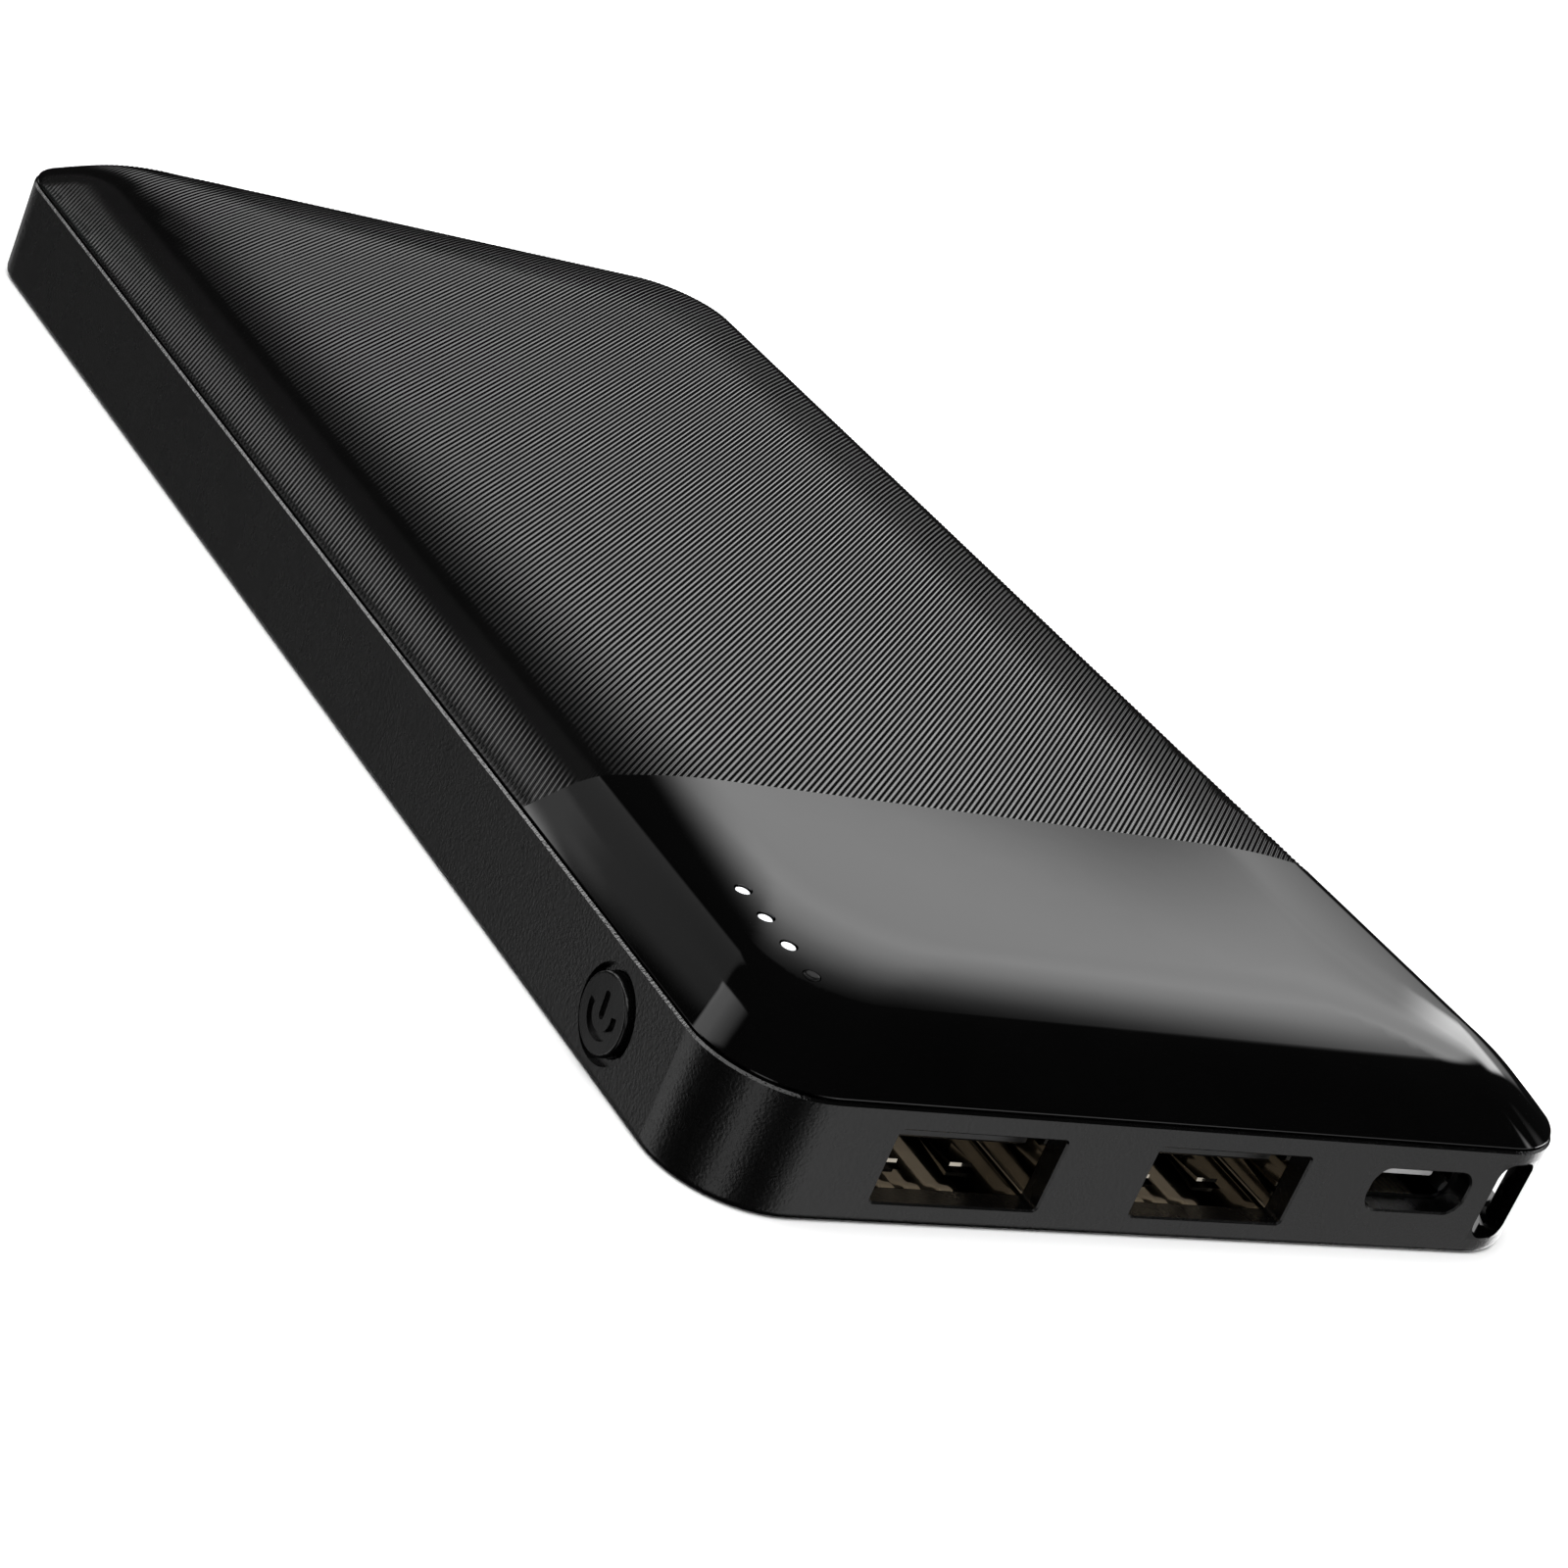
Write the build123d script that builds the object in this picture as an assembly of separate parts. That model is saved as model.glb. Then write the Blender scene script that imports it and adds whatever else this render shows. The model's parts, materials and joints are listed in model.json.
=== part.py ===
from build123d import *
import math
import os

# A slim power bank: a matte tray, a pillow-topped cover, a side power button, two USB-A sockets,
# one USB-C socket, four charge lights and a lanyard passage round one corner, with a pouch cell
# and a small circuit board inside. Millimetres. The origin is the centre of the bottom face,
# +Z is up, the port face looks to -Y and the power button to -X.

# ---- driving dimensions ----------------------------------------------------------------------
WIDTH = 69.0
LENGTH = 136.2
HEIGHT = 12.1
CORNER_R = 7.0  # plan corner radius of the tray
SIDE_X = WIDTH / 2
FRONT_Y = -LENGTH / 2

# tray
TRAY_TOP = 8.25
BOTTOM_EDGE_R = 0.6
TOP_EDGE_CHAMFER = 0.15
WALL = 1.6
FLOOR = 1.3
SEAM_GAP = 0.2  # shadow gap between tray and cover
SEAM_DEPTH = 0.7

# cover: a straight bevel, a soft knee and a low dome
COVER_BOTTOM = TRAY_TOP + SEAM_GAP
COVER_INSET = 0.15
COVER_RIM = 0.10
BEVEL_SLOPE = 0.72
DOME_DROP = 1.66
DOME_REACH = 13.9
KNEE_BLEND = 0.90
COVER_WALL = 1.3
COVER_SKIN = 1.2
LIP_OUTER = 1.7
LIP_INNER = 2.5
LIP_BOTTOM = 7.3

# snap catches that hold the cover in the tray
CATCH_LENGTH = 8.0
CATCH_REACH = 0.35
CATCH_LOW, CATCH_HIGH = 7.4, 7.9
CATCH_PLAY = 0.1
SIDE_CATCH_YS = (-34.0, 4.0, 42.0)
REAR_CATCH_XS = (-16.0, 16.0)
FRONT_CATCH_XS = (-6.2, 13.1)

# USB-A sockets
USB_A_XS = (-16.17, 3.76)
USB_A_Z = 4.19
USB_A_OPENING = (12.5, 5.12)
USB_A_SHEET = 0.3
USB_A_DEPTH = 14.0
USB_A_CUTOUT = (12.55, 5.10)
USB_A_TONGUE_W = 11.1
USB_A_TONGUE_T = 1.8
USB_A_TONGUE_LOW = 4.5
USB_A_TONGUE_RECESS = 2.6
USB_A_CONTACT_XS = (-3.5, -1.0, 1.0, 3.5)
CONTACT_W, CONTACT_T = 1.0, 0.2
CONTACT_BOW, CONTACT_BOW_LENGTH, CONTACT_BOW_STEPS = 0.55, 3.0, 16
SPRING_W, SPRING_LENGTH, SPRING_T = 1.7, 5.6, 0.25
SPRING_TILT = 5.0
SPRING_XS = (-2.85, 2.85)

# USB-C socket
USB_C_X = 20.55
USB_C_Z = 4.75
USB_C_OPENING = (8.34, 2.56)
USB_C_SHEET = 0.3
USB_C_DEPTH = 7.3
USB_C_CUTOUT = (8.7, 3.15)
USB_C_TONGUE_W, USB_C_TONGUE_T, USB_C_TONGUE_LENGTH = 6.69, 0.7, 4.45
USB_C_TONGUE_RECESS = 0.9
USB_C_PITCH = 0.5
USB_C_PINS = 12

SOCKET_FRONT = FRONT_Y + WALL + 0.05
PORT_EDGE = 0.12  # softened edge round each port opening

# lanyard passage: a ring-shaped channel about the corner's sharp apex
LANYARD_INNER_R = 3.9
LANYARD_OUTER_R = 7.5
LANYARD_LOW, LANYARD_HIGH = 1.35, 7.25
LANYARD_LINING = 1.2
LANYARD_EDGE_R = 1.2
LANYARD_POST_HALF, LANYARD_POST_R = 3.92, 2.6  # the square post that the cord loops round

# power button and the side-push switch behind it
BUTTON_Y, BUTTON_Z = -53.57, 4.1
BUTTON_R = 2.62
BUTTON_PROUD = 0.35
BUTTON_GUIDE_R = 2.68
BUTTON_RECESS_R = 3.15
BUTTON_RECESS_DEPTH = 0.5
BUTTON_FLANGE_R, BUTTON_FLANGE_T = 3.1, 0.6
BUTTON_STEM_R, BUTTON_STEM = 0.9, 0.75
BUTTON_TRAVEL = 0.3
SYMBOL_R, SYMBOL_STROKE, SYMBOL_DEPTH = 1.38, 0.56, 0.3
SYMBOL_OPEN_ANGLE = 75.0
SYMBOL_TURN = -6.0  # the cap sits turned a little in its hole
SYMBOL_BAR = (-0.35, 1.5)
PLUNGER_R = 0.7
PLUNGER_BORE_R = 0.75
PLUNGER_PROUD = 0.6
PLUNGER_INSIDE = 1.2

# circuit board
BOARD_TOP = 3.12
BOARD_T = 1.0
BOARD_X = 31.4
BOARD_FRONT, BOARD_REAR = -66.0, -41.5
BOARD_CORNER_R = 4.5
SCREW_SPOTS = ((-28.6, -44.5), (28.6, -44.5), (-6.2, -61.5))
SCREW_HEAD_R, SCREW_HEAD_T = 1.6, 1.0
SCREW_SHANK_R, SCREW_BOTTOM = 0.82, 0.7
BOSS_R, BOSS_HOLE_R = 1.9, 0.85

# charge lights
LIGHT_X = -26.5
LIGHT_YS = tuple(-50.6 - 3.063 * i for i in range(4))
LIGHT_PIN_R, LIGHT_HOLE_R = 0.55, 0.60
LIGHT_PIN_SINK = 0.05
LIGHT_BAFFLE_Z = (4.4, 9.2)
LED_SIZE = (1.6, 0.8, 0.7)

# battery
CELL_X = 30.0
CELL_FRONT, CELL_REAR = -36.5, 61.0
CELL_LOW, CELL_HIGH = 1.7, 9.9
CELL_EDGE_R = 2.5
TAB_XS = {"positive": -9.0, "negative": 9.0}
LEAD_R = 0.7


# ---- helpers ---------------------------------------------------------------------------------
def block(x_span, y_span, z_span):
    """A box between two corners."""
    spans = (x_span, y_span, z_span)
    middle = [(low + high) / 2 for low, high in spans]
    return Pos(*middle) * Box(*[high - low for low, high in spans])


def post(x, y, low, high, radius):
    """An upright cylinder."""
    return Pos(x, y, (low + high) / 2) * Cylinder(radius, high - low)


def rod_x(x_low, x_high, y, z, radius):
    """A cylinder along X."""
    return Pos((x_low + x_high) / 2, y, z) * Rot(0, 90, 0) * Cylinder(radius, x_high - x_low)


def outline(inset, z, corner=None):
    """The tray's plan outline, moved in by inset, at height z."""
    radius = CORNER_R - inset if corner is None else corner
    return Plane.XY.offset(z) * RectangleRounded(WIDTH - 2 * inset, LENGTH - 2 * inset, radius)


def prism(inset, low, high):
    """An upright prism on the inset outline."""
    return extrude(outline(inset, low), high - low)


def tunnel(x, z, width, height, radius, y_low, y_high):
    """A rounded rectangular bar along Y, for port openings and shells."""
    section = Plane(origin=(x, y_high, z), x_dir=(1, 0, 0), z_dir=(0, -1, 0)) * RectangleRounded(
        width, height, radius
    )
    return extrude(section, y_high - y_low)


def crown_height(s):
    """Height of the cover's outside, s in from the tray wall: the lower of bevel and dome."""
    bevel = COVER_BOTTOM + COVER_RIM + BEVEL_SLOPE * (s - COVER_INSET)
    dome = HEIGHT - DOME_DROP * max(0.0, 1 - s / DOME_REACH) ** 2
    near = max(KNEE_BLEND - abs(bevel - dome), 0) / KNEE_BLEND
    return min(bevel, dome) - near * near * KNEE_BLEND / 4


def crown_corner(s):
    """Plan corner radius of the cover's contour, s in from the tray wall."""
    return CORNER_R - 0.30 * s + 0.04 * s * s


def save(shape, name):
    shape.label = name
    export_step(shape, f"parts/{name}.step")


# ---- tray ------------------------------------------------------------------------------------
def lanyard_channel():
    """The corner passage: a ring about the corner's apex, less the square-backed post inside it."""
    middle_r = (LANYARD_INNER_R + LANYARD_OUTER_R) / 2
    middle_z = (LANYARD_LOW + LANYARD_HIGH) / 2
    section = Plane.XZ * Pos(middle_r, middle_z) * RectangleRounded(
        LANYARD_OUTER_R - LANYARD_INNER_R, LANYARD_HIGH - LANYARD_LOW, LANYARD_EDGE_R
    )
    ring = Pos(SIDE_X, FRONT_Y, 0) * revolve(section, Axis.Z, 360)
    half = LANYARD_POST_HALF
    square = block((SIDE_X - half, SIDE_X + half), (FRONT_Y - half, FRONT_Y + half), (0, HEIGHT))
    return ring - fillet(square.edges().filter_by(Axis.Z), LANYARD_POST_R)


def port_opening(x, z, width, height, radius):
    """The bar that cuts one port through the front wall and takes the edge off its mouth."""
    bar = tunnel(x, z, width, height, radius, FRONT_Y - 1, SOCKET_FRONT)
    flare = PORT_EDGE * 2
    mouth_size = (width + flare, height + flare, radius + PORT_EDGE)
    mouth = tunnel(x, z, *mouth_size, FRONT_Y - 1, FRONT_Y + PORT_EDGE)
    return bar + chamfer(mouth.edges().group_by(Axis.Y)[-1], PORT_EDGE * 0.98)


def catches(reach, low, high, length):
    """Bars that stand out from the lip by reach, for the catches or for their pockets."""
    face = LIP_OUTER
    bars = []
    for y in SIDE_CATCH_YS:
        for side in (-1, 1):
            x = sorted((side * (SIDE_X - face - 0.4), side * (SIDE_X - face + reach)))
            bars.append(block(x, (y - length / 2, y + length / 2), (low, high)))
    for x, side in [(x, 1) for x in REAR_CATCH_XS] + [(x, -1) for x in FRONT_CATCH_XS]:
        half = length / 2 if side > 0 else min(length, 5.0) / 2
        y = sorted((side * (LENGTH / 2 - face - 0.4), side * (LENGTH / 2 - face + reach)))
        bars.append(block((x - half, x + half), y, (low, high)))
    return bars


def make_tray():
    body = prism(0, 0, TRAY_TOP)
    body = fillet(body.edges().group_by(Axis.Z)[0], BOTTOM_EDGE_R)
    body = chamfer(body.edges().group_by(Axis.Z)[-1], TOP_EDGE_CHAMFER)
    body += prism(SEAM_DEPTH, TRAY_TOP - 0.5, COVER_BOTTOM)
    body -= prism(WALL, FLOOR, HEIGHT)
    # solid corner that the lanyard passage runs through
    lining = post(SIDE_X, FRONT_Y, FLOOR, TRAY_TOP - 1.1, LANYARD_OUTER_R + LANYARD_LINING)
    body += lining & prism(WALL - 0.2, FLOOR - 0.2, TRAY_TOP)
    body -= lanyard_channel()
    # port openings, each with a softened mouth
    for x in USB_A_XS:
        body -= port_opening(x, USB_A_Z, *USB_A_CUTOUT, 0.3)
    body -= port_opening(USB_C_X, USB_C_Z, *USB_C_CUTOUT, 1.3)
    # stepped hole for the power button
    body -= rod_x(-SIDE_X - 1, -SIDE_X + WALL + 1, BUTTON_Y, BUTTON_Z, BUTTON_GUIDE_R)
    body -= rod_x(-SIDE_X - 1, -SIDE_X + BUTTON_RECESS_DEPTH, BUTTON_Y, BUTTON_Z, BUTTON_RECESS_R)
    # pockets for the cover's catches
    pocket_high = CATCH_HIGH + CATCH_PLAY
    for bar in catches(CATCH_REACH + CATCH_PLAY, CATCH_LOW - 0.3, pocket_high, CATCH_LENGTH + 0.6):
        body -= bar
    # board bosses
    for x, y in SCREW_SPOTS:
        body += post(x, y, FLOOR - 0.2, BOARD_TOP - BOARD_T, BOSS_R)
    for x, y in SCREW_SPOTS:
        body -= post(x, y, SCREW_BOTTOM - 0.1, BOARD_TOP, BOSS_HOLE_R)
    # low ribs that locate the cell
    for x in (-20.0, 20.0):
        body += block((x - 6, x + 6), (CELL_FRONT - 2.0, CELL_FRONT - 1.2), (FLOOR - 0.2, 4.0))
        body += block((x - 6, x + 6), (CELL_REAR + 0.4, CELL_REAR + 1.2), (FLOOR - 0.2, 5.0))
    for side in (-1, 1):
        for y in (-20.0, 14.0, 48.0):
            x = sorted((side * (CELL_X + 0.4), side * (CELL_X + 1.2)))
            body += block(x, (y - 6, y + 6), (FLOOR - 0.2, 6.0))
    return body


# ---- cover -----------------------------------------------------------------------------------
def make_cover():
    stations = (0.15, 1.1, 2.2, 3.0, 3.8, 4.6, 5.6, 7.2, 9.4, 11.6, DOME_REACH)
    faces = [outline(s, crown_height(s), crown_corner(s)).face() for s in stations]
    body = loft(faces)
    body += extrude(outline(COVER_INSET, COVER_BOTTOM, crown_corner(COVER_INSET)), COVER_RIM)
    inner_start = outline(LIP_INNER, COVER_BOTTOM - 0.3, CORNER_R - LIP_INNER).face()
    inner = [inner_start] + [
        outline(s + COVER_WALL, crown_height(s) - COVER_SKIN, crown_corner(s)).face()
        for s in (2.0, 3.0, 3.8, 4.6, 5.6, 7.2, 9.4, DOME_REACH)
    ]
    body -= loft(inner, ruled=True)
    # lip that drops inside the tray wall, with its catches
    lip = prism(LIP_OUTER, LIP_BOTTOM, COVER_BOTTOM + 0.3) - prism(LIP_INNER, 0, HEIGHT)
    body += lip
    for bar in catches(CATCH_REACH, CATCH_LOW, CATCH_HIGH, CATCH_LENGTH):
        body += bar
    for y in LIGHT_YS:
        body -= post(LIGHT_X, y, COVER_BOTTOM, HEIGHT + 1, LIGHT_HOLE_R)
    return body


# ---- button and switch -----------------------------------------------------------------------
def power_symbol():
    """An open ring with a bar, raised from the YZ plane, ready to be cut into the button."""
    face = Plane(
        origin=(-SIDE_X - BUTTON_PROUD - 0.1, BUTTON_Y, BUTTON_Z), x_dir=(0, 1, 0), z_dir=(1, 0, 0)
    )
    ring = Circle(SYMBOL_R + SYMBOL_STROKE / 2) - Circle(SYMBOL_R - SYMBOL_STROKE / 2)
    half = math.radians(SYMBOL_OPEN_ANGLE)
    reach = SYMBOL_R * 2
    wedge = make_face(
        Polyline(
            (0, 0),
            (-reach * math.sin(half), reach * math.cos(half)),
            (-reach, reach),
            (reach, reach),
            (reach * math.sin(half), reach * math.cos(half)),
            close=True,
        )
    )
    low, high = SYMBOL_BAR
    bar = Pos(0, (low + high) / 2) * RectangleRounded(
        SYMBOL_STROKE, high - low, SYMBOL_STROKE / 2 - 0.01
    )
    drawing = Rot(0, 0, SYMBOL_TURN) * ((ring - wedge) + bar)
    return extrude(face * drawing, SYMBOL_DEPTH + 0.1)


def make_button():
    outer = -SIDE_X - BUTTON_PROUD
    flange = -SIDE_X + WALL + 0.03
    back = flange + BUTTON_FLANGE_T
    cap = rod_x(outer, flange + 0.1, BUTTON_Y, BUTTON_Z, BUTTON_R)
    cap = fillet(cap.edges().group_by(Axis.X)[0], 0.2)
    body = cap + rod_x(flange, back, BUTTON_Y, BUTTON_Z, BUTTON_FLANGE_R) - power_symbol()
    # the flange's foot is cut flat so that it clears the tray floor
    body -= block((-SIDE_X + WALL, SIDE_X), (FRONT_Y, 0), (-1, FLOOR + 0.1))
    return body + rod_x(back - 0.1, back + BUTTON_STEM, BUTTON_Y, BUTTON_Z, BUTTON_STEM_R)


def switch_parts():
    stem_end = -SIDE_X + WALL + 0.03 + BUTTON_FLANGE_T + BUTTON_STEM
    face = stem_end + PLUNGER_PROUD
    body = block((face, face + 2.8), (BUTTON_Y - 3.0, BUTTON_Y + 3.0), (BOARD_TOP, BOARD_TOP + 2.4))
    bore_end = face + PLUNGER_INSIDE + BUTTON_TRAVEL + 0.2
    body -= rod_x(face - 1, bore_end, BUTTON_Y, BUTTON_Z, PLUNGER_BORE_R)
    plunger = rod_x(stem_end, face + PLUNGER_INSIDE, BUTTON_Y, BUTTON_Z, PLUNGER_R)
    return body, plunger


# ---- sockets ---------------------------------------------------------------------------------
def make_usb_a(x):
    """Metal shell, insulator with its tongue, and four contacts of one USB-A socket."""
    width, height = USB_A_OPENING
    rear = SOCKET_FRONT + USB_A_DEPTH
    outside = (width + 2 * USB_A_SHEET, height + 2 * USB_A_SHEET)
    shell = tunnel(x, USB_A_Z, *outside, 0.6, SOCKET_FRONT, rear)
    shell -= tunnel(x, USB_A_Z, width, height, 0.3, SOCKET_FRONT - 1, rear - USB_A_SHEET)
    floor_z = USB_A_Z - height / 2
    spring_y = SOCKET_FRONT + 2.0
    for dx in SPRING_XS:
        window_x = (x + dx - SPRING_W / 2 - 0.25, x + dx + SPRING_W / 2 + 0.25)
        window_y = (spring_y, spring_y + SPRING_LENGTH + 0.3)
        shell -= block(window_x, window_y, (floor_z - 1, floor_z + 0.2))
        leaf = Pos(0, -SPRING_LENGTH / 2, SPRING_T / 2) * Box(SPRING_W, SPRING_LENGTH, SPRING_T)
        root = (x + dx, spring_y + SPRING_LENGTH + 0.35, floor_z - SPRING_T)
        shell += Pos(*root) * Rot(-SPRING_TILT, 0, 0) * leaf
    tongue_front = FRONT_Y + USB_A_TONGUE_RECESS
    base_front = rear - USB_A_SHEET - 3.2
    half = USB_A_TONGUE_W / 2
    tongue_high = USB_A_TONGUE_LOW + USB_A_TONGUE_T
    tongue = block((x - half, x + half), (tongue_front, base_front), (USB_A_TONGUE_LOW, tongue_high))
    tongue = chamfer(tongue.edges().group_by(Axis.Y)[0].group_by(Axis.Z)[0], 0.3)
    base = tunnel(x, USB_A_Z, width, height, 0.3, base_front, rear - USB_A_SHEET)
    strip_y = (tongue_front + 0.8, base_front)
    contacts = [contact_strip(x + dx, strip_y) for dx in USB_A_CONTACT_XS]
    return shell, tongue + base, Compound(children=contacts)


def contact_strip(x, y_span):
    """One contact under the tongue: a flat strip that bows down where the plug touches it."""
    middle = y_span[0] + CONTACT_BOW_LENGTH / 2 + 0.2
    upper = []
    for i in range(CONTACT_BOW_STEPS + 1):
        share = 2 * i / CONTACT_BOW_STEPS - 1
        drop = CONTACT_BOW * (1 + math.cos(math.pi * share)) / 2
        upper.append((middle + share * CONTACT_BOW_LENGTH / 2, USB_A_TONGUE_LOW - drop))
    upper = [(y_span[0], USB_A_TONGUE_LOW)] + upper + [(y_span[1], USB_A_TONGUE_LOW)]
    lower = [(y, z - CONTACT_T) for y, z in reversed(upper)]
    side = make_face(Plane.YZ * Polyline(*upper, *lower, close=True))
    return Pos(x - CONTACT_W / 2, 0, 0) * extrude(side, CONTACT_W, dir=(1, 0, 0))


def make_usb_c():
    """Metal shell, tongue with rear block, and the two rows of contacts of the USB-C socket."""
    width, height = USB_C_OPENING
    rear = SOCKET_FRONT + USB_C_DEPTH
    outside = (width + 2 * USB_C_SHEET, height + 2 * USB_C_SHEET)
    shell = tunnel(USB_C_X, USB_C_Z, *outside, outside[1] / 2 - 0.02, SOCKET_FRONT, rear)
    inside = (width, height, height / 2 - 0.02)
    shell -= tunnel(USB_C_X, USB_C_Z, *inside, SOCKET_FRONT - 1, rear - USB_C_SHEET)
    tongue_front = SOCKET_FRONT + USB_C_TONGUE_RECESS
    base_front = tongue_front + USB_C_TONGUE_LENGTH
    tongue_size = (USB_C_TONGUE_W, USB_C_TONGUE_T, 0.2)
    tongue = tunnel(USB_C_X, USB_C_Z, *tongue_size, tongue_front, base_front)
    base = tunnel(USB_C_X, USB_C_Z, *inside, base_front, rear - USB_C_SHEET)
    contacts = []
    for side in (-1, 1):
        for i in range(USB_C_PINS):
            x = USB_C_X + (i - (USB_C_PINS - 1) / 2) * USB_C_PITCH
            face = USB_C_TONGUE_T / 2
            z = sorted((USB_C_Z + side * face, USB_C_Z + side * (face + 0.06)))
            contacts.append(block((x - 0.12, x + 0.12), (tongue_front + 0.5, base_front), z))
    return shell, tongue + base, Compound(children=contacts)


# ---- board and its components ----------------------------------------------------------------
def make_board():
    low = BOARD_TOP - BOARD_T
    body = block((-BOARD_X, BOARD_X), (BOARD_FRONT, BOARD_REAR), (low, BOARD_TOP))
    uprights = body.edges().filter_by(Axis.Z)
    front_left = uprights.sort_by(lambda edge: edge.center().X + edge.center().Y)[0]
    body = fillet(front_left, BOARD_CORNER_R)
    body -= post(SIDE_X, FRONT_Y, 0, HEIGHT, LANYARD_OUTER_R + LANYARD_LINING + 0.4)
    notch = USB_A_OPENING[0] / 2 + USB_A_SHEET + 0.15
    for x in USB_A_XS:
        notch_y = (BOARD_FRONT - 1, SOCKET_FRONT + USB_A_DEPTH + 0.2)
        body -= block((x - notch, x + notch), notch_y, (0, HEIGHT))
    for x, y in SCREW_SPOTS:
        body -= post(x, y, 0, HEIGHT, 1.05)
    return body


def make_screws():
    screws = []
    for x, y in SCREW_SPOTS:
        head = post(x, y, BOARD_TOP, BOARD_TOP + SCREW_HEAD_T, SCREW_HEAD_R)
        head = fillet(head.edges().group_by(Axis.Z)[-1], 0.4)
        shank = post(x, y, SCREW_BOTTOM, BOARD_TOP + 0.1, SCREW_SHANK_R)
        cross_z = (BOARD_TOP + 0.5, BOARD_TOP + SCREW_HEAD_T + 0.1)
        cross = block((x - 0.9, x + 0.9), (y - 0.17, y + 0.17), cross_z)
        cross += block((x - 0.17, x + 0.17), (y - 0.9, y + 0.9), cross_z)
        screws.append((head + shank - cross).solid())
    return Compound(children=screws)


def chip(x, y, size_x, size_y, height):
    """A moulded package with a softened top edge, standing on the board."""
    body = Pos(x, y, BOARD_TOP + height / 2) * Box(size_x, size_y, height)
    return chamfer(body.edges().group_by(Axis.Z)[-1], min(0.15, height / 4))


def gull_wing_chip(x, y, pins):
    """A small-outline package with pins along both long sides."""
    body = Pos(0, 0, 0.1) * chip(x, y, 4.9, 3.9, 1.4)
    for i in range(pins // 2):
        pin_x = x + (i - (pins / 2 - 1) / 2) * 1.27
        for side in (-1, 1):
            y_span = sorted((y + side * 1.7, y + side * 3.0))
            body += block((pin_x - 0.2, pin_x + 0.2), y_span, (BOARD_TOP, BOARD_TOP + 0.3))
    return body


def make_inductor(x, y):
    body = chip(x, y, 7.0, 6.6, 3.0)
    return body - Pos(x, y, BOARD_TOP + 3.0) * Box(4.0, 0.5, 0.3)


def make_capacitors():
    spots = [(-22.5 + 1.9 * i, -43.4) for i in range(3)] + [(12.5 + 1.9 * i, -48.5) for i in range(4)]
    body = [chip(x, y, 1.25, 2.0, 1.2) for x, y in spots]
    return Compound(children=body)


def make_leds():
    return [chip(LIGHT_X, y, *LED_SIZE) for y in LIGHT_YS]


def make_light_pins():
    """Clear pins that carry each light up to the cover's surface, each with a small collar."""
    top = crown_height(SIDE_X + LIGHT_X) - LIGHT_PIN_SINK
    low = BOARD_TOP + LED_SIZE[2] + 0.15
    collar_low = LIGHT_BAFFLE_Z[1]
    pins = []
    for y in LIGHT_YS:
        pin = post(LIGHT_X, y, low, top, LIGHT_PIN_R)
        pin = fillet(pin.edges().group_by(Axis.Z)[-1], 0.2)
        pins.append(pin + post(LIGHT_X, y, collar_low, collar_low + 0.5, LIGHT_PIN_R + 0.35))
    return pins


def make_light_baffle():
    """The black sleeve block that holds the pins and keeps each light to its own pin."""
    spread = LIGHT_PIN_R + 0.9
    y_span = (LIGHT_YS[-1] - spread, LIGHT_YS[0] + spread)
    body = block((LIGHT_X - spread, LIGHT_X + spread), y_span, LIGHT_BAFFLE_Z)
    body = fillet(body.edges().filter_by(Axis.Z), 0.6)
    for y in LIGHT_YS:
        body -= post(LIGHT_X, y, 0, HEIGHT, LIGHT_PIN_R + 0.03)
    return body


# ---- battery ---------------------------------------------------------------------------------
def make_cell():
    body = block((-CELL_X, CELL_X), (CELL_FRONT, CELL_REAR), (CELL_LOW, CELL_HIGH))
    body = fillet(body.edges().filter_by(Axis.Y), CELL_EDGE_R)
    return fillet(body.edges().group_by(Axis.Y)[-1], 1.2)


def make_tab(x):
    """A welded strip that stands out of the cell's front and folds down."""
    front = CELL_FRONT - 0.8
    strip = block((x - 2.5, x + 2.5), (front, CELL_FRONT), (6.4, 6.55))
    return strip + block((x - 2.5, x + 2.5), (front - 0.15, front), (5.0, 6.55))


def make_lead(x):
    """The wire from a tab to its pad on the board."""
    start_y = CELL_FRONT - 0.95 - LEAD_R
    corners = [
        (x, start_y, 5.9),
        (x, start_y, 5.0),
        (x, start_y - 2.8, BOARD_TOP + LEAD_R + 0.05),
        (x, start_y - 6.0, BOARD_TOP + LEAD_R + 0.05),
    ]
    route = FilletPolyline(*corners, radius=1.0)
    start = Plane(origin=corners[0], z_dir=(0, 0, -1))
    return sweep(start * Circle(LEAD_R), path=route)


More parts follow.
